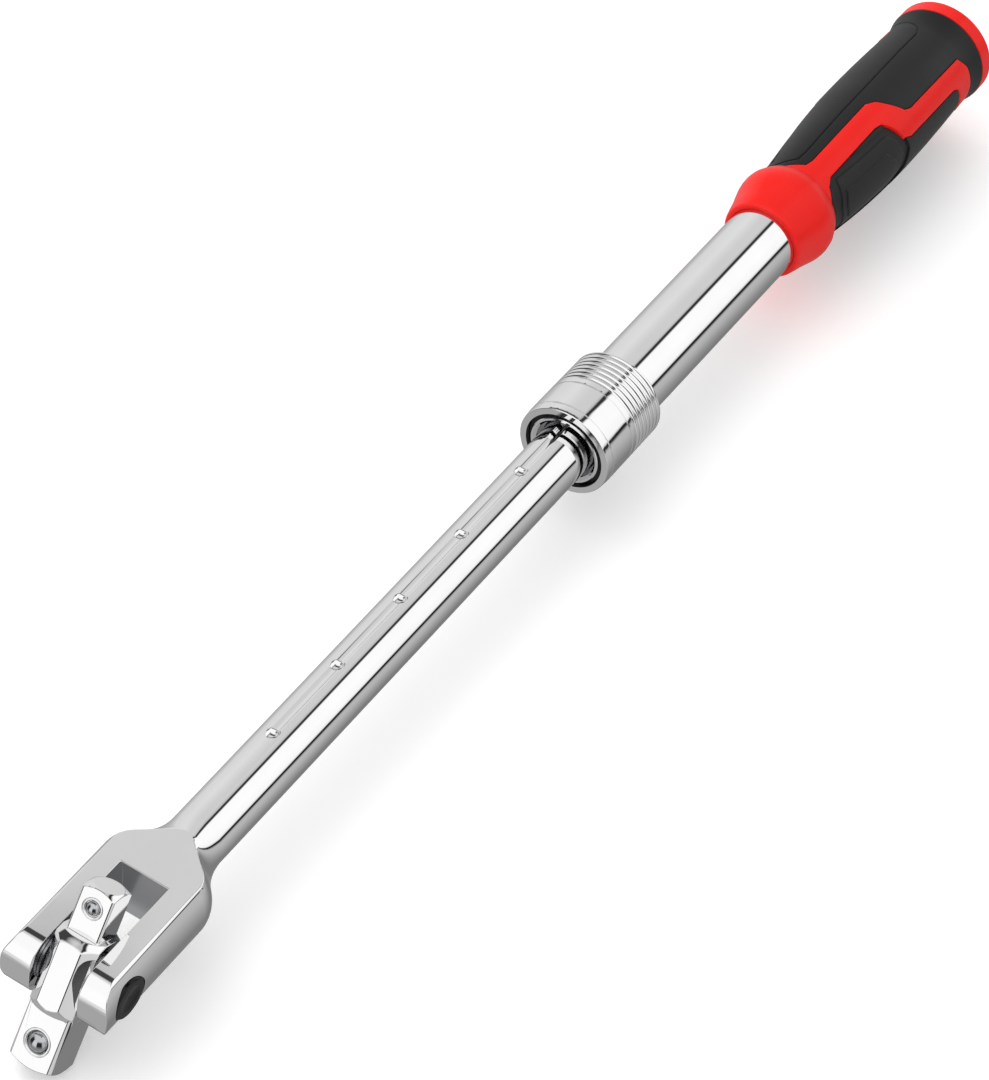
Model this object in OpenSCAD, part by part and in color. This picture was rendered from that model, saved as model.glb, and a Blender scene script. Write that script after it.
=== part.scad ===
// Telescoping breaker bar with a dual-drive flex head.
// Millimetres. The origin is the centre of the handle's end face. +X runs along the bar to the head,
// +Z is the normal of the fork's flats, and +Y points out of the ear that holds the pivot pin's head.

/* [Handle tube] */
// Distance from the handle's end face to the tube's mouth
tube_len = 213.6; // [190:0.1:260]
// Outside diameter of the chromed tube
tube_d = 21.6; // [21:0.1:25.9]
// Wall of the chromed tube
tube_wall = 1.5; // [1.2:0.1:1.8]

/* [Sliding bar] */
// Diameter of the sliding bar
bar_d = 16.3; // [13.6:0.1:16.5]
// Distance between two detents
detent_pitch = 29.2; // [20:0.1:35]
// Distance from the pivot pin to the detent nearest to it
first_detent = 85; // [70:1:110]
// Detents that are still inside the tube, past the lock ball
hidden_detents = 1; // [0:1:2]
// Turn of the detent groove round the bar, from the fork's flat
groove_turn = 13; // [0:1:30]
// Depth of the detent groove
groove_depth = 0.5; // [0.3:0.1:0.8]

/* [Lock] */
// Depth that the lock ball sinks below the bar's surface
lock_ball_sink = 1.2; // [1:0.1:1.3]
// Distance from the tube's mouth back to the lock ball
ball_setback = 8.6; // [8.4:0.1:10]
// Thickness of the lock collar, over the tube
collar_build = 3.4; // [3:0.1:5]
// Length of the lock collar
collar_len = 27.6; // [26:0.1:32]
// Travel of the lock collar
collar_travel = 5.2; // [4.5:0.1:5.4]
// Number of grip grooves round the collar
collar_grooves = 7; // [3:1:9]

/* [Fork] */
// Diameter across the fork's rounded sides
fork_d = 32.4; // [30:0.1:36]
// Thickness between the fork's flats
fork_t = 18.2; // [17:0.1:20]
// Width of the fork's slot
slot_w = 14.4; // [14:0.1:15]
// Reach of the fork's slot behind the pivot pin
slot_reach = 28.6; // [28.6:0.1:31]
// Reach of the ears in front of the pivot pin
ear_reach = 10; // [9.5:0.1:12]
// Diameter of the pivot pin's shank
pin_d = 9; // [8:0.1:10.8]
// Diameter of the pivot pin's head
pin_head_d = 12; // [11:0.1:12.5]

/* [Flex head] */
// Tilt of the large drive below the bar's axis
head_tilt = 60; // [-180:1:180]
// Side of the large square drive
large_sq = 12.7; // [12.6:0.1:12.8]
// Distance from the pivot pin to the end of the large drive
large_end = 27.7; // [24:0.1:27.7]
// Distance from the pivot pin to the ball of the large drive
large_ball_at = 20; // [17:0.1:21]
// Diameter of the large drive's ball
large_ball_d = 6; // [5:0.1:6.2]
// Side of the small square drive
small_sq = 9.525; // [9.4:0.025:9.6]
// Distance from the pivot pin to the end of the small drive
small_end = 23.4; // [20:0.1:24]
// Distance from the pivot pin to the ball of the small drive
small_ball_at = 18; // [15:0.1:19]
// Diameter of the small drive's ball
small_ball_d = 4.2; // [3.6:0.1:4.4]
// Width of the hub between the friction washers
hub_w = 12.9; // [12.7:0.1:13]

/* [Grip] */
// Length of the handle, with its nose
grip_len = 108; // [100:0.1:129.6]
// Thickness of the grip at its belly, over the tube
grip_build = 5.2; // [5:0.1:7]
// Thickness of the soft cover
cover_t = 1.7; // [1.2:0.1:1.9]
// Turn of the handle's coloured band from the fork's flat
band_turn = 22.8; // [0:0.1:45]

/* [Hidden] */
$fn = 96;

// Fits
run_gap = 0.05;    // radial gap of a shaft or sleeve that runs
seat_gap = 0.01;   // radial gap of a piece that is pressed or bonded in place
face_gap = 0.1;    // gap between two faces that stop on each other

// Sliding bar: as many detents as the tube has room for behind the lock ball
tail_room = 8;      // from the last detent to the tail bush
tail_bush_len = 9;
tail_ring_t = 1.2;
tail_tip = 1.3;
tail_len = tail_room + tail_bush_len + tail_ring_t + tail_tip;
cap_room = 10;      // kept free in front of the handle's end face
ball_x = tube_len - ball_setback;
detent_count = 1 + floor((ball_x - cap_room - tail_len) / detent_pitch);
pivot_x = ball_x + first_detent + (detent_count - 1 - hidden_detents) * detent_pitch;
first_x = pivot_x - first_detent;
last_x = first_x - (detent_count - 1) * detent_pitch;
tail_x = last_x - tail_len;
bar_r = bar_d / 2;
tail_r = bar_r - 1.65; // turned down for the tail bush

// Tube and lock
tube_r = tube_d / 2;
bore_r = tube_r - tube_wall;
ring_t = 1.2;
ring_bite = 0.6;    // depth of a snap ring's groove
ring_stand = 1.15;  // how far a snap ring stands out of the tube
stop_x = tube_len - 2.8;
bush_front = 3;     // set back of the guide bush in the mouth
bush_back = tail_room - face_gap; // guide bush behind the lock ball, which stops the tail bush
ball_proud = 0.15;  // of the tube's surface, with the ball in a pocket
lock_ball_r = (tube_r + ball_proud - bar_r + lock_ball_sink) / 2;
lock_ball_at = bar_r - lock_ball_sink + lock_ball_r;
ball_lift = lock_ball_sink - groove_depth;
ramp = ball_lift / collar_travel;
mouth_r = tube_r + ring_stand + 0.15;
land_r = tube_r + run_gap;
ball_gap = 0.015;
ramp_r_at_ball = lock_ball_at + (lock_ball_r + ball_gap) * sqrt(1 + ramp * ramp);
ramp_front = stop_x - face_gap;
ramp_back = ball_x - (ramp_r_at_ball - land_r) / ramp;
spring_wall = 1.65; // tube's surface to the collar's spring room
land_back = ball_x - 6;
collar_r = tube_r + collar_build;
collar_front = tube_len + 0.1;
collar_back = collar_front - collar_len;
seat_x = collar_back + 0.6;
spring_wire = 1;
spring_turns = 4.5;

// Fork
pin_r = pin_d / 2;
pin_head_r = pin_head_d / 2;
pin_head_back = fork_d / 2 - 3.4;
shoulder_x = pivot_x - 31.2;
washer_t = 0.6;
ear_round = 7;
flat_break = 0.2;   // depth of the chamfer where a flat meets the rounded side

// Handle
belly_r = tube_r + grip_build;
belly_x = 0.444 * grip_len;
nose_x = grip_len - 18.5;
waist_x = 13;       // narrowest place behind the belly
front_drop = 3;     // from the belly's radius to the nose's end of the cover
rear_drop = 1.1;    // from the belly's radius to the waist
flare_rise = 3.2;   // of the curve from the waist out to the end face
cap_len = 5.4;
core_front = nose_x - 1;
grip_start = cap_len + 0.1;

// Radius of the grip's outside at a place along the handle
function grip_r(x) =
    x > belly_x ? belly_r - front_drop * pow((x - belly_x) / (nose_x - belly_x), 2) :
    x > waist_x ? belly_r - rear_drop * pow((belly_x - x) / (belly_x - waist_x), 2) :
    belly_r - rear_drop + flare_rise * pow((waist_x - x) / waist_x, 2);

// Places along the handle where its outline has a point
function grip_steps() = [for (x = [grip_start + 0.65 : 1.5 : waist_x]) x,
                         for (x = [waist_x + 2.65 : 4 : nose_x - 3]) x];

// Points on an arc, from angle a to angle b
function arc(cx, cy, r, a, b, n = 12) = [for (i = [0 : n]) let (t = a + (b - a) * i / n)
    [cx + r * cos(t), cy + r * sin(t)]];

// Turns an outline of [place along the bar, radius] round the X axis
module spin(points) {
    rotate([0, 90, 0]) rotate([0, 0, 90]) rotate_extrude() polygon([for (p = points) [p[1], p[0]]]);
}

// Ring round the X axis
module ring(x, length, inner, outer) {
    spin([[x, inner], [x + length, inner], [x + length, outer], [x, outer]]);
}

// Puts a piece of the head, drawn with its large drive along +X and its balls upward, in its place
module on_head() {
    translate([pivot_x, 0, 0]) rotate([0, head_tilt, 0]) children();
}

// Puts a piece that points along +Z at the lock ball, in line with the groove
module at_groove(x) {
    translate([x, 0, 0]) rotate([groove_turn, 0, 0]) children();
}

// Open coil spring along +Z, from z = 0
module coil(r, wire, length, turns) {
    sides = 8;
    per_turn = 20;
    n = ceil(turns * per_turn);
    rise = length - wire;
    points = [for (i = [0 : n], j = [0 : sides - 1])
        let (a = 360 * turns * i / n, b = 360 * j / sides, q = r + wire / 2 * cos(b))
        [q * cos(a), q * sin(a), wire / 2 + rise * i / n + wire / 2 * sin(b)]];
    walls = [for (i = [0 : n - 1], j = [0 : sides - 1]) let (k = (j + 1) % sides)
        [i * sides + j, i * sides + k, (i + 1) * sides + k, (i + 1) * sides + j]];
    start = [for (j = [0 : sides - 1]) sides - 1 - j];
    end = [for (j = [0 : sides - 1]) n * sides + j];
    polyhedron(points, concat([for (w = walls) [w[3], w[2], w[1], w[0]]],
        [[for (j = [sides - 1 : -1 : 0]) start[j]]], [[for (j = [sides - 1 : -1 : 0]) end[j]]]),
        convexity = 10);
}

// ---- Handle tube ----

module outer_tube() {
    color("gainsboro") difference() {
        spin([[cap_len + 0.1, bore_r], [tube_len - 0.7, bore_r], [tube_len, bore_r + 0.7],
              [tube_len, tube_r - 0.2], [tube_len - 0.2, tube_r], [cap_len + 0.1, tube_r]]);
        ring(stop_x, ring_t + 0.1, tube_r - ring_bite, tube_r + 1);
        ring(seat_x, ring_t + 0.1, tube_r - ring_bite, tube_r + 1);
        at_groove(ball_x) cylinder(h = tube_r + 1, r = lock_ball_r + run_gap);
    }
}

// Steel sleeve pressed into the mouth, which guides the bar and carries the lock ball
module guide_bush() {
    front = tube_len - bush_front;
    back = ball_x - bush_back;
    color("silver") difference() {
        spin([[back, bar_r + run_gap], [front - 0.6, bar_r + run_gap], [front, bar_r + run_gap + 0.4],
              [front, bore_r - seat_gap], [back, bore_r - seat_gap]]);
        at_groove(ball_x) cylinder(h = tube_r, r = lock_ball_r + run_gap);
    }
}

// Snap ring in a groove of the tube, with its gap turned away from the lock ball
module snap_ring(x) {
    difference() {
        ring(x + 0.05, ring_t, tube_r - ring_bite + 0.05, tube_r + ring_stand);
        translate([x - 1, -1.5, -tube_r - 3]) cube([ring_t + 2, 3, 6]);
    }
}

module collar_stop_ring() {
    color("#202022") snap_ring(stop_x);
}

module spring_seat_ring() {
    color("#202022") snap_ring(seat_x);
}

module collar_spring() {
    back = seat_x + ring_t + face_gap;
    color("dimgray") translate([back, 0, 0]) rotate([0, 90, 0])
        coil(tube_r + spring_wire / 2 + 0.3, spring_wire, land_back - face_gap - back, spring_turns);
}

// ---- Handle ----

// Outline of the coloured band, as places along the handle and distances across it
band = [
    [nose_x + 2, -13], [nose_x, -11.5], [nose_x - 3.5, -5.6], [nose_x - 6, -5],
    [55, -5.2], [52, -3.6], [46, 4.2], [43.5, 5.1], [14.8, 5.3], [12, 9], [11.5, 12.5], [11.5, 18],
    [15.4, 18], [19, 11.7], [21.5, 10.9], [48, 10.8], [51, 9.8], [55, 4.2], [57, 2.2], [60, 1.6],
    [nose_x - 5.5, 1.9], [nose_x - 3, 3.6], [nose_x - 0.5, 8], [nose_x + 2, 13]
];

// Half outlines of a pad, of the higher field on it and of the sunk edge round it, seen square on
pad = [[nose_x - 5.2, 0], [nose_x - 7, 8.4], [57.8, 8.4], [54.4, 4.9], [52.8, 0]];
pad_field = [[nose_x - 7.2, 0], [nose_x - 8.3, 4.8], [61, 4.8], [57, 0]];
pad_edge = [[nose_x - 2.2, 0], [nose_x - 4, 10.6], [55.8, 10.6], [51.3, 6.2], [49.6, 0]];

// Line of the crease along the cover, and its width
crease = [[nose_x - 1, -12.9], [nose_x - 4.8, -8.3], [nose_x - 8.5, -8.1], [62.8, -8.6], [27.5, -8.7],
          [16.4, -8.5], [13.8, -9.5], [11.9, -11.6], [10.2, -15]];
crease_w = 0.5;
crease_depth = 0.35;
band_rise = 0.2;    // of the coloured band over the cover
band_gap = 0.2;     // between the band and the cover's edge
pad_turn = band_turn + 54;

// Something drawn flat, on opposite sides of the handle, turned from the fork's flat
module both_sides(turn) {
    for (side = [0, 180])
        rotate([side - turn, 0, 0]) linear_extrude(belly_r + 2) children();
}

// The two coloured bands, grown by a gap
module bands(gap = 0) {
    both_sides(band_turn) offset(delta = gap) polygon(band);
}

// Half an outline and its mirror image
module whole(half) {
    n = len(half);
    polygon(concat(half, [for (i = [n - 1 : -1 : 0]) if (half[i][1] > 0) [half[i][0], -half[i][1]]]));
}

// Cutter that sinks the space between two outlines on the cover
module sunk(outer, inner, depth) {
    difference() {
        both_sides(pad_turn) difference() {
            whole(outer);
            whole(inner);
        }
        grip_outline(depth, grip_start - 1, nose_x + 1, 0);
    }
}

module grip_outline(inset, from_x, to_x, inner) {
    steps = [for (x = grip_steps()) if (x > from_x && x < to_x) x];
    spin(concat([[from_x, inner], [from_x, grip_r(from_x) - inset]],
        [for (x = steps) [x, grip_r(x) - inset]],
        [[to_x, grip_r(to_x) - inset], [to_x, inner]]));
}

// Hard red body with its bulged nose, its two bands and a bore that is bonded to the tube
module handle_core() {
    bond_r = tube_r + seat_gap;
    lip_r = tube_r + 1.1;
    n = nose_x;
    // places along the nose, and how far each stands from the lip's radius to the belly's
    nose = [[grip_len, 0], [grip_len - 0.3, 0.1], [grip_len - 0.9, 0.16], [grip_len - 3, 0.28],
            [grip_len - 6, 0.43], [grip_len - 9, 0.64], [grip_len - 11, 0.77], [grip_len - 12.5, 0.83],
            [grip_len - 14, 0.84], [grip_len - 15.5, 0.79], [grip_len - 17, 0.65], [n - 0.2, 0.47]];
    color("#e8201c") {
        union() {
            grip_outline(cover_t, grip_start, n, bond_r);
            spin(concat([[core_front, bond_r], [grip_len, bond_r]],
                [for (p = nose) [p[0], lip_r + (belly_r - lip_r) * p[1]]],
                [[core_front, grip_r(core_front) - 0.3]]));
            intersection() {
                grip_outline(-band_rise, grip_start, n, bond_r);
                bands();
            }
        }
    }
}

// Black soft cover, which leaves the nose and the two bands free
module soft_grip() {
    n = len(crease);
    color("#2b2d2f") difference() {
        grip_outline(0, grip_start + 0.05, core_front - 0.05, tube_r + 0.5);
        grip_outline(cover_t - seat_gap, grip_start - 1, nose_x, tube_r);
        bands(band_gap);
        sunk(pad_edge, pad, 0.8);
        sunk(pad, pad_field, 0.4);
        difference() {
            both_sides(band_turn) polygon(concat(
                [for (p = crease) [p[0], p[1] + crease_w / 2]],
                [for (i = [n - 1 : -1 : 0]) [crease[i][0], crease[i][1] - crease_w / 2]]));
            grip_outline(crease_depth, grip_start - 1, nose_x + 1, 0);
        }
    }
}

module end_cap() {
    round_r = 1.3;
    flange_r = grip_r(grip_start);
    spigot = 2.6;
    color("#e8201c") spin(concat([[0, 0]],
        arc(round_r, flange_r - round_r, round_r, 180, 90, 6),
        [[cap_len, flange_r], [cap_len, bore_r - seat_gap], [cap_len + spigot, bore_r - seat_gap],
         [cap_len + spigot, 0]]));
}

// ---- Lock ----

module lock_collar() {
    groove_pitch = 1.8;
    groove_first = 1.5;
    lip = 3;
    mid = 12.8;
    line_depth = 0.15;
    room_r = tube_r + spring_wall;
    color("silver") difference() {
        spin([[collar_back, room_r], [land_back, room_r], [land_back, land_r], [ramp_back, land_r],
              [ramp_front, land_r + (ramp_front - ramp_back) * ramp], [ramp_front, mouth_r],
              [collar_front, mouth_r], [collar_front, collar_r - 0.25],
              [collar_front - 0.25, collar_r - 0.1], [collar_front - lip, collar_r + 0.1],
              [collar_back + 0.3, collar_r], [collar_back, collar_r - 0.3]]);
        for (i = [0 : collar_grooves - 1])
            translate([collar_back + groove_first + i * groove_pitch, 0, 0]) rotate([0, 90, 0])
                rotate_extrude() translate([collar_r + 0.25, 0]) circle(r = 0.65);
        ring(collar_front - mid, 0.3, collar_r - line_depth, collar_r + 1);
        ring(collar_front - lip, 0.3, collar_r - line_depth, collar_r + 1);
    }
}

module lock_ball() {
    color("lightsteelblue") at_groove(ball_x) translate([0, 0, lock_ball_at]) sphere(r = lock_ball_r);
}

// ---- Sliding bar with its fork ----

// Side view of the fork and the bar: flats, with rounded ears
module fork_side() {
    tip = pivot_x + ear_reach;
    top = fork_t / 2;
    rotate([90, 0, 0]) linear_extrude(fork_d + 2, center = true) polygon(concat(
        [[tail_x - 1, -top]],
        arc(tip - ear_round, -top + ear_round, ear_round, -90, 0),
        arc(tip - ear_round, top - ear_round, ear_round, 0, 90),
        [[tail_x - 1, top]]));
}

// Outline of the bar and the fork as turned, with the neck as two arcs that meet
module turned_bar() {
    neck_a = 42;
    out_r = 9;
    in_r = 18;
    r = fork_d / 2;
    join_x = shoulder_x - out_r * sin(neck_a);
    join_r = r - out_r + out_r * cos(neck_a);
    foot_r = bar_r + in_r - in_r * cos(neck_a);
    in_x = join_x - (join_r - foot_r) / tan(neck_a) - in_r * sin(neck_a);
    step_x = last_x - tail_room;
    spin(concat([[tail_x, 0], [tail_x, tail_r - 0.4], [tail_x + 0.4, tail_r], [step_x, tail_r],
         [step_x, bar_r]],
        arc(in_x, bar_r + in_r, in_r, 270, 270 + neck_a),
        arc(shoulder_x, r - out_r, out_r, 90 + neck_a, 90),
        [[pivot_x + ear_reach + 1, r], [pivot_x + ear_reach + 1, 0]]));
}

module fork_bar() {
    r = fork_d / 2;
    flat_y = sqrt(r * r - fork_t * fork_t / 4);
    corner = (flat_y + fork_t / 2 - flat_break) / sqrt(2);
    dimple_r = lock_ball_r + 0.2;
    groove_r = lock_ball_r + 0.1;
    pin_hole_r = pin_r + seat_gap;
    ring_groove_r = tail_r - 0.6;
    color("gainsboro") difference() {
        intersection() {
            turned_bar();
            fork_side();
            translate([tail_x - 2, 0, 0]) rotate([45, 0, 0])
                translate([0, -corner, -corner]) cube([pivot_x + fork_d, 2 * corner, 2 * corner]);
        }
        // slot between the ears, with an end that is round about the pivot
        intersection() {
            translate([pivot_x - slot_reach - 1, -slot_w / 2, -fork_d])
                cube([slot_reach + ear_reach + 3, slot_w, 2 * fork_d]);
            union() {
                translate([pivot_x, fork_d, 0]) rotate([90, 0, 0]) cylinder(h = 2 * fork_d, r = slot_reach);
                translate([pivot_x, -fork_d, -fork_d]) cube([fork_d, 2 * fork_d, 2 * fork_d]);
            }
        }
        // pin hole through both ears, and the seat of its head
        translate([pivot_x, fork_d, 0]) rotate([90, 0, 0]) cylinder(h = 2 * fork_d, r = pin_hole_r);
        translate([pivot_x, pin_head_back, 0]) rotate([-90, 0, 0])
            cylinder(h = fork_d, r = pin_head_r + run_gap);
        // detent groove and its round pockets
        at_groove(last_x) translate([0, 0, bar_r - groove_depth + groove_r]) rotate([0, 90, 0])
            cylinder(h = first_x - last_x, r = groove_r);
        for (i = [0 : detent_count - 1])
            at_groove(last_x + i * detent_pitch)
                translate([0, 0, bar_r - lock_ball_sink - 0.03 + dimple_r]) sphere(r = dimple_r);
        // groove of the ring that holds the tail bush
        ring(tail_x + tail_tip, tail_ring_t + 0.1, ring_groove_r, bar_r);
    }
}

// Sleeve on the bar's tail, which runs in the tube
module tail_bush() {
    color("#d8d2c0") ring(last_x - tail_room - 0.05 - tail_bush_len + 0.1, tail_bush_len - 0.1,
                          tail_r + seat_gap, bore_r - run_gap);
}

module tail_ring() {
    color("#202022") difference() {
        ring(tail_x + tail_tip + 0.05, tail_ring_t - 0.1, tail_r - 0.55, tail_r + 1.4);
        translate([tail_x, -1.5, 0]) cube([tail_tip + tail_ring_t + 1, 3, tail_r + 2]);
    }
}

// Pin with a dished black head, pressed into both ears
module pivot_pin() {
    head_face = fork_d / 2 - 0.1;
    shank_end = -(fork_d / 2 - 0.9);
    dish_r = 16;
    dish_depth = 0.5;
    color("#1c1c1e") translate([pivot_x, 0, 0]) rotate([-90, 0, 0]) difference() {
        union() {
            translate([0, 0, shank_end]) cylinder(h = pin_head_back - shank_end + 0.5, r = pin_r);
            translate([0, 0, pin_head_back]) cylinder(h = head_face - 0.4 - pin_head_back, r = pin_head_r);
            translate([0, 0, head_face - 0.4]) cylinder(h = 0.4, r1 = pin_head_r, r2 = pin_head_r - 0.4);
        }
        translate([0, 0, head_face + dish_r - dish_depth]) sphere(r = dish_r);
    }
}

// Friction washer between the hub and an ear
module friction_washer(side) {
    inner = side * (hub_w / 2 + run_gap);
    color("#8c8a84") translate([pivot_x, inner, 0]) rotate([-90 * side, 0, 0]) difference() {
        cylinder(h = washer_t, r = pin_r + 2.6);
        translate([0, 0, -1]) cylinder(h = washer_t + 2, r = pin_r + run_gap);
    }
}

module friction_washer_right() {
    friction_washer(1);
}

module friction_washer_left() {
    friction_washer(-1);
}

// ---- Flex head ----

// Square drive along +X, with broken corners and a turned end
module square_drive(side, from_x, end, tip_r, corner_break, slope) {
    h = side / 2;
    far = h * sqrt(2);
    c = corner_break;
    intersection() {
        translate([from_x, 0, 0]) rotate([90, 0, 90]) linear_extrude(end - from_x) polygon([
            [-h, -h + c], [-h + c, -h], [h - c, -h], [h, -h + c],
            [h, h - c], [h - c, h], [-h + c, h], [-h, h - c]]);
        spin([[from_x, 0], [from_x, far], [end - (far - tip_r) * slope, far], [end, tip_r], [end, 0]]);
    }
}

// Blind hole for a drive's ball and spring, closed to a lip, with the ring left by staking it
module ball_hole(face, ball_r, stand) {
    centre = face - ball_r + stand;
    lip_at = centre + 0.65;
    lip_r = ball_r - 0.04;
    depth = 2 * face - 1.8;
    translate([0, 0, face - depth]) cylinder(h = lip_at - face + depth, r = ball_r + run_gap);
    cylinder(h = face + 1, r = lip_r);
    translate([0, 0, face - 0.4]) cylinder(h = 0.41, r1 = lip_r, r2 = lip_r + 0.3);
    translate([0, 0, face - 0.15]) difference() {
        cylinder(h = 1, r = ball_r + 0.7);
        translate([0, 0, -1]) cylinder(h = 3, r = ball_r + 0.5);
    }
}

large_ball_stand = 1.3; // how far a drive's ball stands out of its face
small_ball_stand = 0.9;

module drive_hub() {
    half_w = hub_w / 2;
    deep = 9;           // half of the hub's depth
    facet = 3.2;        // half of the hub's front facet
    side_deep = 5.8;    // half of the depth of the hub's sides
    wide_r = 9.6;
    large_root = 11.2;
    small_root = 10.4;
    color("gainsboro") on_head() difference() {
        union() {
            intersection() {
                translate([-small_root, 0, 0]) rotate([90, 0, 90]) linear_extrude(small_root + large_root)
                    polygon([[-half_w, -side_deep], [-facet, -deep], [facet, -deep], [half_w, -side_deep],
                             [half_w, side_deep], [facet, deep], [-facet, deep], [-half_w, side_deep]]);
                spin([[-small_root, 0], [-small_root, 7.1], [-8, wide_r], [8.5, wide_r],
                      [large_root, 8.2], [large_root, 0]]);
            }
            square_drive(large_sq, large_root - 1, large_end, 5.6, 1.0, 0.52);
            rotate([180, 180, 0]) square_drive(small_sq, small_root - 1, small_end, 4.2, 0.5, 0.55);
        }
        translate([0, half_w + 1, 0]) rotate([90, 0, 0]) cylinder(h = hub_w + 2, r = pin_r + run_gap);
        translate([large_ball_at, 0, 0]) ball_hole(large_sq / 2, large_ball_d / 2, large_ball_stand);
        translate([-small_ball_at, 0, 0]) ball_hole(small_sq / 2, small_ball_d / 2, small_ball_stand);
    }
}

// Ball of a square drive, in its place on the head
module drive_ball(x, face, ball_r, stand) {
    color("lightsteelblue") on_head() translate([x, 0, face - ball_r + stand]) sphere(r = ball_r);
}

// Spring under a drive's ball
module ball_spring(x, face, ball_r, stand) {
    wire = 0.5;
    coil_r = 0.7 * ball_r;
    base = 1.9 - face;
    reach = ball_r + wire / 2 + 0.03;
    top = face - ball_r + stand - sqrt(reach * reach - coil_r * coil_r) + wire / 2;
    color("dimgray") on_head() translate([x, 0, base]) coil(coil_r, wire, top - base, 3.5);
}

module large_drive_ball() {
    drive_ball(large_ball_at, large_sq / 2, large_ball_d / 2, large_ball_stand);
}

module large_ball_spring() {
    ball_spring(large_ball_at, large_sq / 2, large_ball_d / 2, large_ball_stand);
}

module small_drive_ball() {
    drive_ball(-small_ball_at, small_sq / 2, small_ball_d / 2, small_ball_stand);
}

module small_ball_spring() {
    ball_spring(-small_ball_at, small_sq / 2, small_ball_d / 2, small_ball_stand);
}

outer_tube();
guide_bush();
collar_stop_ring();
spring_seat_ring();
collar_spring();
handle_core();
soft_grip();
end_cap();
lock_collar();
lock_ball();
fork_bar();
tail_bush();
tail_ring();
pivot_pin();
friction_washer_right();
friction_washer_left();
drive_hub();
large_drive_ball();
large_ball_spring();
small_drive_ball();
small_ball_spring();
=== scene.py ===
"""Looks for the telescoping breaker bar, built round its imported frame. Metres, in the part's own frame."""
import math
import bmesh
import bpy
from mathutils import Matrix, Vector


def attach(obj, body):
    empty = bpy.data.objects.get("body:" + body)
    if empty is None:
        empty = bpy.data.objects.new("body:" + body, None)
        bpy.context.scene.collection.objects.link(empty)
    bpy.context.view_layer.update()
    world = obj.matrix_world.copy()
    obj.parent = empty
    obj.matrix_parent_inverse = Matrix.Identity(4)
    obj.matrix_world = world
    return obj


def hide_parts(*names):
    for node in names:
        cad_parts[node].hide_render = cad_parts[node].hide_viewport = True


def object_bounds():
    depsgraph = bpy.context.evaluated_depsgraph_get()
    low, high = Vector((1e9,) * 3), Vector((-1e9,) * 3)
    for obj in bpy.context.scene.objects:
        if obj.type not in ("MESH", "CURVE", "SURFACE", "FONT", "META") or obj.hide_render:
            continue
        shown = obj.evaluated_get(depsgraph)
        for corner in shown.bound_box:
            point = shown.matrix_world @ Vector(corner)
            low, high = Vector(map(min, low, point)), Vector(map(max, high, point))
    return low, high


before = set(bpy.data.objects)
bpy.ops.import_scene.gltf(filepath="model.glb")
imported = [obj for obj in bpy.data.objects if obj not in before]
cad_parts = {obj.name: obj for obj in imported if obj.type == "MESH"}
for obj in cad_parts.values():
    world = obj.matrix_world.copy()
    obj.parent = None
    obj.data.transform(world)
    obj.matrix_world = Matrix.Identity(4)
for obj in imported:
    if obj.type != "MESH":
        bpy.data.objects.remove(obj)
cad_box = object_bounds()
scene = bpy.context.scene
MM = 0.001
fork_edge_mm = 0.3   # width of the fork's and the bar's rounded edges

# ---------------------------------------------------------------- values


def linear(hex_colour):
    """sRGB hex to a linear RGBA colour."""
    rgb = [int(hex_colour[i:i + 2], 16) / 255 for i in (1, 3, 5)]
    return [c / 12.92 if c <= 0.04045 else ((c + 0.055) / 1.055) ** 2.4 for c in rgb] + [1.0]


def waves_per_metre(size_mm):
    """Scale that makes one wave or cell of a pattern this long in millimetres."""
    return 1.0 / (size_mm * MM)


# ---------------------------------------------------------------- materials


def link(tree, node, inputs):
    """Gives a node its inputs: a value, another node's output socket, or a node for its first output."""
    for key, value in inputs.items():
        if isinstance(value, bpy.types.Node):
            value = value.outputs[0]
        if isinstance(value, bpy.types.NodeSocket):
            tree.links.new(value, node.inputs[key])
        else:
            node.inputs[key].default_value = value


def add(tree, kind, inputs=None, **settings):
    """Adds a node with its own settings and its inputs."""
    node = tree.nodes.new(kind)
    for key, value in settings.items():
        setattr(node, key, value)
    link(tree, node, inputs or {})
    return node


def start_material(name, **constants):
    """A material with a Principled shader whose constant values sit on its own sockets."""
    mat = bpy.data.materials.new(name)
    mat.use_nodes = True
    tree = mat.node_tree
    tree.nodes.clear()
    shader = add(tree, "ShaderNodeBsdfPrincipled", constants)
    add(tree, "ShaderNodeOutputMaterial", {"Surface": shader})
    place = add(tree, "ShaderNodeTexCoord").outputs["Object"]
    return mat, tree, shader, place


def dress(tree, shader, tone, rough, relief):
    """Gives a surface two shades, a range of roughness and a relief. Each starts with its pattern."""
    shade, dark, light = tone
    wear, smooth, dull = rough
    height, strength, depth_mm = relief
    colour = add(tree, "ShaderNodeMix", {0: shade, 6: linear(dark), 7: linear(light)}, data_type="RGBA")
    gloss = add(tree, "ShaderNodeMapRange", {
        "Value": wear, "From Min": 0.3, "From Max": 0.7, "To Min": smooth, "To Max": dull})
    grain = add(tree, "ShaderNodeBump", {"Height": height, "Strength": strength, "Distance": depth_mm * MM})
    link(tree, shader, {"Base Color": colour.outputs[2], "Roughness": gloss, "Normal": grain})


def inside(tree, place, low, high):
    """1 between two corners of a box and 0 outside it."""
    along = add(tree, "ShaderNodeSeparateXYZ", {0: place})
    share = 1.0
    for axis in range(3):
        for edge, test in ((low[axis], "GREATER_THAN"), (high[axis], "LESS_THAN")):
            held = add(tree, "ShaderNodeMath", {0: along.outputs[axis], 1: edge}, operation=test)
            share = add(tree, "ShaderNodeMath", {0: held, 1: share}, operation="MULTIPLY")
    return share


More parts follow.
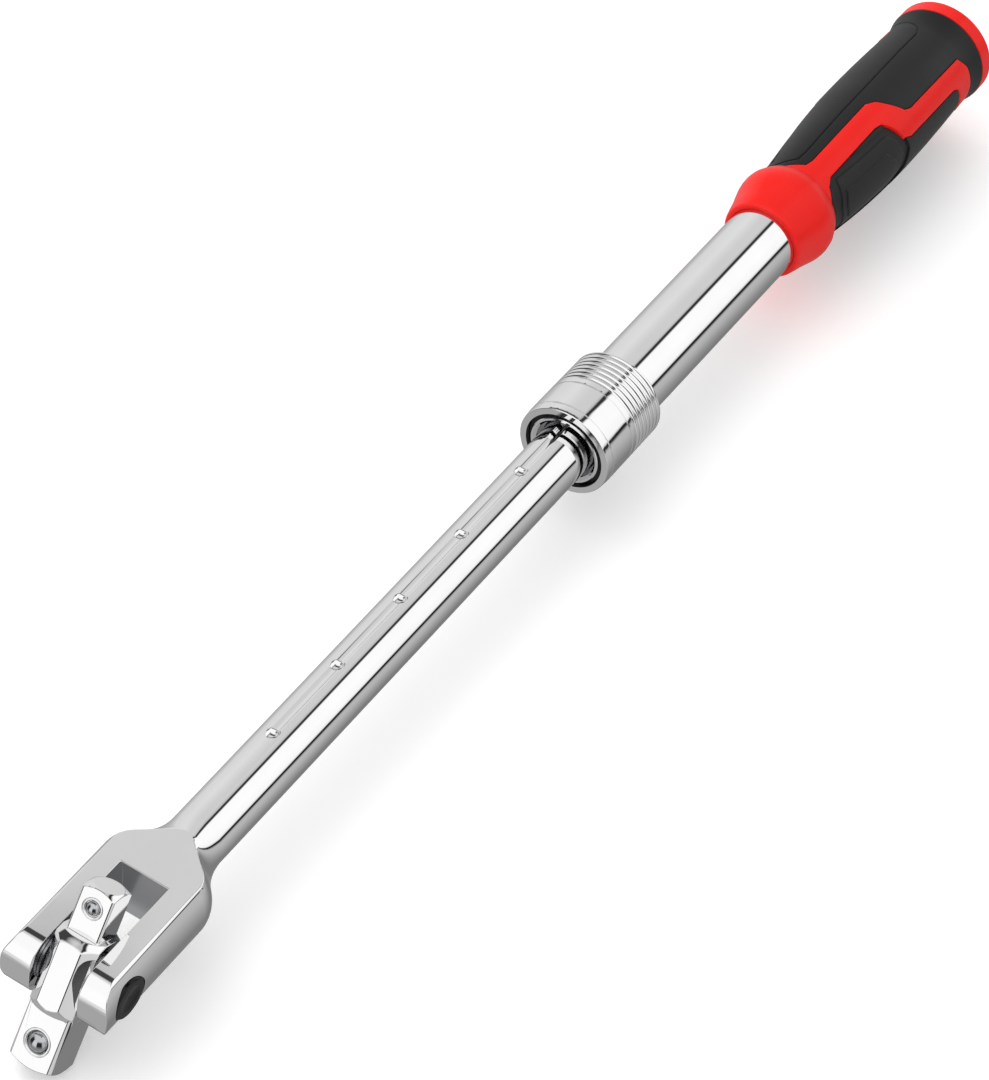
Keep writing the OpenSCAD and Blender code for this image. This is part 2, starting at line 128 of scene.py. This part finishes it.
def plated_chrome(name, lines, ripple_mm=9.0, ripple=0.12, rough=(0.015, 0.05), dull_shaded_walls=None):
    """Polished nickel-chrome plating. Its own haze makes the gloss uneven, and buffing leaves a faint ripple
    and hair lines along the tool's path. Real hair lines are too fine to show, so theirs is a pattern with
    cells of 1.2 mm, which lines then stretches. Within the box whose two corners are given for the slot's
    walls, the plating is duller, and its colour is painted darker as the shade that falls inside the recess."""
    mat, tree, shader, place = start_material(name, Metallic=1.0)
    haze = add(tree, "ShaderNodeTexNoise", {
        "Vector": place, "Scale": waves_per_metre(14.0), "Detail": 3.0, "Roughness": 0.6})
    path = add(tree, "ShaderNodeMapping", {"Vector": place, "Scale": lines})
    hair = add(tree, "ShaderNodeTexNoise", {
        "Vector": path, "Scale": waves_per_metre(1.2), "Detail": 4.0, "Roughness": 0.7})
    shine = add(tree, "ShaderNodeMath", {0: haze, 1: hair}, operation="MULTIPLY")
    gloss = add(tree, "ShaderNodeMapRange", {
        "Value": shine, "From Min": 0.12, "From Max": 0.42, "To Min": rough[0], "To Max": rough[1]})
    colour = add(tree, "ShaderNodeMix", {
        0: haze, 6: linear("#ececec"), 7: linear("#f4f4f4")}, data_type="RGBA").outputs[2]
    if dull_shaded_walls:
        walls = inside(tree, place, *dull_shaded_walls)
        # the slot's walls: a rougher gloss, and a darker colour that is painted shade of the recess
        gloss = add(tree, "ShaderNodeMix", {0: walls, 2: gloss, 3: 0.2})
        colour = add(tree, "ShaderNodeMix", {
            0: walls, 6: colour, 7: linear("#b4b5b7")}, data_type="RGBA").outputs[2]
    swell = add(tree, "ShaderNodeTexNoise", {
        "Vector": place, "Scale": waves_per_metre(ripple_mm), "Detail": 1.0})
    wave = add(tree, "ShaderNodeBump", {"Height": swell, "Strength": ripple, "Distance": 0.05 * MM})
    scratch = add(tree, "ShaderNodeBump", {
        "Height": hair, "Strength": 0.05, "Distance": 0.004 * MM, "Normal": wave})
    link(tree, shader, {"Base Color": colour, "Roughness": gloss, "Normal": scratch})
    return mat


def moulded_red():
    """Polypropylene moulded in a finely sparked tool: satin, with an even grain and a little light under
    the skin. The real grain is too fine to show, so it is drawn at 0.45 mm."""
    mat, tree, shader, place = start_material("moulded_red_polypropylene", **{
        "IOR": 1.49, "Subsurface Weight": 0.04, "Subsurface Scale": 1.0 * MM,
        "Subsurface Radius": (1.0, 0.25, 0.2), "Specular IOR Level": 0.28})
    flow = add(tree, "ShaderNodeTexNoise", {
        "Vector": place, "Scale": waves_per_metre(22.0), "Detail": 2.0, "Roughness": 0.6})
    grain = add(tree, "ShaderNodeTexNoise", {
        "Vector": place, "Scale": waves_per_metre(0.45), "Detail": 3.0, "Roughness": 0.6})
    dress(tree, shader, (flow, "#e4140d", "#ee1a12"), (grain, 0.26, 0.38), (grain, 0.22, 0.03))
    return mat


def soft_rubber():
    """Thermoplastic rubber moulded over the body: matt and dark, with a leathery grain. The real grain is
    too fine to show, so its cells are drawn at 0.7 mm."""
    mat, tree, shader, place = start_material("overmoulded_black_rubber", **{
        "IOR": 1.5, "Specular IOR Level": 0.3, "Sheen Weight": 0.06, "Sheen Roughness": 0.5})
    cells = add(tree, "ShaderNodeTexVoronoi", {"Vector": place, "Scale": waves_per_metre(0.7)})
    dust = add(tree, "ShaderNodeTexNoise", {
        "Vector": place, "Scale": waves_per_metre(18.0), "Detail": 3.0, "Roughness": 0.6})
    dress(tree, shader, (dust, "#0f1011", "#161718"), (dust, 0.46, 0.58), (cells, 0.3, 0.04))
    return mat


def blackened_steel():
    """Black oxide on turned steel: near black, oily, with a slight brown cast where it is thin. Its real
    pits are too fine to show, so they are drawn at 0.5 mm."""
    mat, tree, shader, place = start_material("black_oxide_steel", Metallic=0.5)
    bloom = add(tree, "ShaderNodeTexNoise", {
        "Vector": place, "Scale": waves_per_metre(2.5), "Detail": 4.0, "Roughness": 0.6})
    pits = add(tree, "ShaderNodeTexNoise", {
        "Vector": place, "Scale": waves_per_metre(0.5), "Detail": 3.0})
    dress(tree, shader, (bloom, "#070708", "#121112"), (bloom, 0.16, 0.3), (pits, 0.15, 0.02))
    return mat


def ground_metal(name, dark, light, rough, line_mm, lines):
    """Bare metal as it comes from a lathe, a grinder or a die, with fine marks that roughen its gloss. The
    marks are a pattern with cells of line_mm, which lines then stretches."""
    mat, tree, shader, place = start_material(name, Metallic=1.0)
    path = add(tree, "ShaderNodeMapping", {"Vector": place, "Scale": lines})
    marks = add(tree, "ShaderNodeTexNoise", {
        "Vector": path, "Scale": waves_per_metre(line_mm), "Detail": 3.0, "Roughness": 0.7})
    stain = add(tree, "ShaderNodeTexNoise", {
        "Vector": place, "Scale": waves_per_metre(6.0), "Detail": 2.0})
    dress(tree, shader, (stain, dark, light), (marks, *rough), (marks, 0.12, 0.01))
    return mat


def node_corners(node):
    """Lowest and highest corner of the box round a CAD node."""
    places = [vert.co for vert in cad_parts[node].data.vertices]
    return [Vector([end(place[axis] for place in places) for axis in range(3)]) for end in (min, max)]


def fork_slot():
    """Two corners of the box that holds the slot's walls, short of the fork's rounded edges, where the
    plating is painted darker as shade.
    """
    washer_low, washer_high = node_corners("friction_washer_right")
    pin_x = (washer_low.x + washer_high.x) / 2
    reach_back, reach_front = 28.7 * MM, 4.0 * MM
    half_gap = washer_high.y + 0.2 * MM
    half_thick = node_corners("fork_bar")[1].z - fork_edge_mm * MM
    return (pin_x - reach_back, -half_gap, -half_thick), (pin_x + reach_front, half_gap, half_thick)


chrome_bar = plated_chrome("chrome_plated_forged_steel", (0.06, 1.0, 1.0), dull_shaded_walls=fork_slot())
chrome_tube = plated_chrome("chrome_plated_drawn_tube", (0.04, 1.0, 1.0), ripple_mm=16.0, ripple=0.06)
chrome_collar = plated_chrome("chrome_plated_turned_steel", (3.0, 0.1, 0.1), ripple_mm=6.0, ripple=0.08,
                              rough=(0.04, 0.09))
chrome_drive = plated_chrome("chrome_plated_ground_square", (1.0, 0.2, 1.0), ripple_mm=5.0, ripple=0.1)
red_plastic = moulded_red()
black_rubber = soft_rubber()
black_steel = blackened_steel()
ball_steel = ground_metal("lapped_ball_steel", "#b2b4b7", "#c6c8cb", (0.03, 0.07), 0.6, (1.0, 1.0, 1.0))
turned_steel = ground_metal("turned_bare_steel", "#8e9094", "#b4b6ba", (0.2, 0.38), 0.4, (4.0, 0.3, 0.3))
spring_wire = ground_metal("drawn_spring_wire", "#54575c", "#7d8085", (0.25, 0.4), 0.5, (1.0, 1.0, 1.0))
bush_brass = ground_metal("turned_bearing_brass", "#a98442", "#c9a45c", (0.22, 0.36), 0.4, (4.0, 0.3, 0.3))

# ---------------------------------------------------------------- pieces


def new_piece(name, bm, material, body, nodes):
    """Makes a finished mesh a piece of the object that stands for its CAD nodes."""
    mesh = bpy.data.meshes.new(name)
    bm.to_mesh(mesh)
    bm.free()
    mesh.materials.append(material)
    piece = bpy.data.objects.new(name, mesh)
    scene.collection.objects.link(piece)
    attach(piece, body)
    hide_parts(*nodes)
    return piece


def edge_broken(name, node, material, body, width_mm, steps=2):
    """A copy of a CAD node with its loose triangles joined and its sharp edges rounded, as a real edge is
    after polishing or moulding."""
    same_corner = 0.001 * MM
    same_bevel_corner = 0.00002 * MM
    flat, sharp, crease = (math.radians(angle) for angle in (0.4, 28.0, 40.0))
    bm = bmesh.new()
    bm.from_mesh(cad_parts[node].data)
    bmesh.ops.remove_doubles(bm, verts=bm.verts, dist=same_corner)
    bmesh.ops.dissolve_limit(bm, angle_limit=flat, verts=bm.verts, edges=bm.edges)
    corners = [e for e in bm.edges if len(e.link_faces) == 2 and e.calc_face_angle(0.0) > sharp]
    bmesh.ops.bevel(bm, geom=corners, offset=width_mm * MM, offset_type="OFFSET", segments=steps, profile=0.5,
                    affect="EDGES", clamp_overlap=False, material=-1)
    # bevels that meet leave corners on one spot and faces that aren't quite flat
    bmesh.ops.remove_doubles(bm, verts=bm.verts, dist=same_bevel_corner)
    bmesh.ops.triangulate(bm, faces=[f for f in bm.faces if len(f.verts) > 4])
    for face in bm.faces:
        face.smooth = True
    for edge in bm.edges:
        edge.smooth = edge.calc_face_angle(0.0) < crease
    piece = new_piece(name, bm, material, body, [node])
    even = piece.modifiers.new("even_normals", "WEIGHTED_NORMAL")
    even.mode = "FACE_AREA"
    even.keep_sharp = True


def finish_node(node, material):
    """Gives a CAD node that stays its material."""
    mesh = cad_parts[node].data
    mesh.materials.clear()
    mesh.materials.append(material)


edge_broken("forged_fork_bar", "fork_bar", chrome_bar, "bar", fork_edge_mm)
edge_broken("swivel_hub", "drive_hub", chrome_drive, "head", 0.22, steps=3)
edge_broken("grooved_collar", "lock_collar", chrome_collar, "collar", 0.12)
edge_broken("handle_body", "handle_core", red_plastic, "handle", 0.18)
edge_broken("grip_cover", "soft_grip", black_rubber, "handle", 0.22)
edge_broken("butt_cap", "end_cap", red_plastic, "handle", 0.2)

for node, material in {
        "outer_tube": chrome_tube, "guide_bush": turned_steel, "collar_stop_ring": black_steel,
        "spring_seat_ring": black_steel, "collar_spring": spring_wire, "lock_ball": ball_steel,
        "tail_bush": bush_brass, "tail_ring": black_steel, "pivot_pin": black_steel,
        "friction_washer_right": turned_steel, "friction_washer_left": turned_steel,
        "large_drive_ball": ball_steel, "small_drive_ball": ball_steel,
        "large_ball_spring": spring_wire, "small_ball_spring": spring_wire}.items():
    finish_node(node, material)

# ---------------------------------------------------------------- studio


def wall_levels(tree, across, ahead, stops):
    """Brightness of a wall of the tent by a ray's angle from ahead towards across: stops are degrees and
    levels."""
    angle = add(tree, "ShaderNodeMath", {0: across, 1: ahead}, operation="ARCTAN2")
    share = add(tree, "ShaderNodeMapRange", {"Value": angle, "From Min": -math.pi, "From Max": math.pi})
    wall = add(tree, "ShaderNodeValToRGB", {"Fac": share})
    ramp = wall.color_ramp
    while len(ramp.elements) < len(stops):
        ramp.elements.new(0.5)
    for element, (degrees, level) in zip(ramp.elements, stops):
        element.position = (degrees + 180) / 360
        element.color = (level, level, level, 1.0)
    return wall.outputs["Color"]


def blend_levels(tree, first, second, value, start, end):
    """Goes from one brightness to another between two limits of a value. The second may be a plain level."""
    share = add(tree, "ShaderNodeMapRange", {"Value": value, "From Min": start, "From Max": end})
    if not isinstance(second, bpy.types.NodeSocket):
        second = (second, second, second, 1.0)
    return add(tree, "ShaderNodeMix", {0: share, 6: first, 7: second}, data_type="RGBA").outputs[2]


def studio_world():
    """A light tent as gloss sees it. Round the bar: a bright panel over its right side with a thin dark gap
    at each edge, a pale grey wall on the left and a darker one below. In front of the head: a white card
    between two dark ones. What isn't gloss gets soft white light."""
    world = bpy.data.worlds.new("light_tent")
    world.use_nodes = True
    tree = world.node_tree
    tree.nodes.clear()
    ray = add(tree, "ShaderNodeTexCoord").outputs["Generated"]
    x, y, z = add(tree, "ShaderNodeSeparateXYZ", {0: ray}).outputs
    # from straight up towards the bar's right side
    ring = wall_levels(tree, y, z, [
        (-180, 0.20), (-150, 0.30), (-118, 0.50), (-98, 0.70), (-55, 0.76), (-25, 0.65), (-2, 0.64),
        (3, 0.50), (5, 0.03), (11, 0.03), (13, 0.60), (15, 1.02), (50, 1.04), (76, 0.98), (81, 0.70),
        (83, 0.02), (88, 0.01), (91, 0.20), (95, 0.50), (108, 0.47), (133, 0.32), (156, 0.21), (180, 0.20)])
    # from straight ahead of the head towards its right side
    cards = wall_levels(tree, y, x, [
        (-180, 0.60), (-100, 0.55), (-76, 0.50), (-70, 0.03), (-40, 0.03), (-35, 1.04), (0, 1.04),
        (5, 0.04), (46, 0.03), (52, 0.60), (60, 0.75), (90, 0.60), (180, 0.60)])
    cards_and_ground = blend_levels(tree, cards, 0.38, z, -0.12, -0.60)
    before_head = blend_levels(tree, cards_and_ground, 1.0, z, 0.45, 0.70)
    around = blend_levels(tree, ring, before_head, x, -0.04, 0.08)
    # a dark strip overhead, left of the bar and towards its handle: each row is a value and its soft edge
    strip = 1.0
    for value, start, end in ((x, -0.52, -0.44), (x, -0.08, -0.16), (y, 0.05, -0.05), (z, 0.30, 0.40)):
        edge = add(tree, "ShaderNodeMapRange", {"Value": value, "From Min": start, "From Max": end})
        strip = add(tree, "ShaderNodeMath", {0: edge, 1: strip}, operation="MULTIPLY")
    seen = blend_levels(tree, around, 0.05, strip, 0.0, 1.0)
    # what lights the floor and the plastic is brighter above and to the left
    lean = add(tree, "ShaderNodeVectorMath", {0: ray, 1: (0.35, -0.45, 0.82)}, operation="DOT_PRODUCT")
    soft = add(tree, "ShaderNodeMapRange", {
        "Value": lean.outputs["Value"], "From Min": -0.53, "From Max": 1.0, "To Min": 0.0, "To Max": 1.45})
    gloss = add(tree, "ShaderNodeBackground", {"Color": seen, "Strength": 1.08})
    even = add(tree, "ShaderNodeBackground", {"Color": (1.0, 1.0, 1.0, 1.0), "Strength": soft})
    path = add(tree, "ShaderNodeLightPath")
    both = add(tree, "ShaderNodeMixShader", {0: path.outputs["Is Glossy Ray"], 1: even, 2: gloss})
    add(tree, "ShaderNodeOutputWorld", {"Surface": both})
    scene.world = world


def soft_box(name, place, target, size, power):
    """A square softbox that isn't itself seen in the chrome."""
    lamp = bpy.data.lights.new(name, "AREA")
    lamp.shape = "SQUARE"
    lamp.size = size
    lamp.energy = power
    box = bpy.data.objects.new(name, lamp)
    turn = (Vector(target) - Vector(place)).to_track_quat("-Z", "Y")
    box.matrix_world = Matrix.Translation(place) @ turn.to_matrix().to_4x4()
    box.visible_glossy = False
    scene.collection.objects.link(box)


def pale_floor():
    """A wide sheet just under the lowest point, which glows a little and isn't seen in the chrome."""
    centre = (0.2, 0.0, cad_box[0][2] - 0.2 * MM)
    half_width = 4.0
    bm = bmesh.new()
    bmesh.ops.create_grid(bm, x_segments=1, y_segments=1, size=half_width)
    bmesh.ops.translate(bm, verts=bm.verts, vec=centre)
    mesh = bpy.data.meshes.new("pale_floor")
    bm.to_mesh(mesh)
    bm.free()
    mat, tree, shader, place = start_material("backlit_white_acrylic", **{
        "Roughness": 0.9, "Specular IOR Level": 0.1, "Emission Color": (1.0, 1.0, 1.0, 1.0),
        "Emission Strength": 0.12})
    cloud = add(tree, "ShaderNodeTexNoise", {
        "Vector": place, "Scale": waves_per_metre(180.0), "Detail": 2.0})
    white = add(tree, "ShaderNodeMix", {
        0: cloud, 6: linear("#fdfdfd"), 7: linear("#ffffff")}, data_type="RGBA")
    link(tree, shader, {"Base Color": white.outputs[2]})
    mesh.materials.append(mat)
    floor = bpy.data.objects.new("pale_floor", mesh)
    floor.visible_glossy = False
    scene.collection.objects.link(floor)


def front_camera():
    """Above the head and a little to its right, tilted, with a long lens."""
    target = Vector((253.1, 3.16, 0.0)) * MM
    distance = 1288.6 * MM
    azimuth, elevation, tilt = (math.radians(angle) for angle in (26.53, 46.97, 8.86))
    level_reach = math.cos(elevation)
    back = Vector((level_reach * math.cos(azimuth), level_reach * math.sin(azimuth), math.sin(elevation)))
    lens = bpy.data.cameras.new("camera")
    lens.lens = 161.0
    lens.sensor_width = 36.0
    lens.clip_start = 0.01
    cam = bpy.data.objects.new("camera", lens)
    level = back.to_track_quat("Z", "Y").to_matrix().to_4x4()
    cam.matrix_world = Matrix.Translation(target + distance * back) @ level @ Matrix.Rotation(tilt, 4, "Z")
    scene.collection.objects.link(cam)
    scene.camera = cam


studio_world()
soft_box("key", place=(0.3, -0.5, 1.1), target=(0.15, 0.0, 0.0), size=0.8, power=2.0)
soft_box("fill", place=(0.7, 0.7, 0.9), target=(0.2, 0.0, 0.0), size=0.9, power=0.5)
pale_floor()
front_camera()
scene.view_settings.view_transform = "Standard"
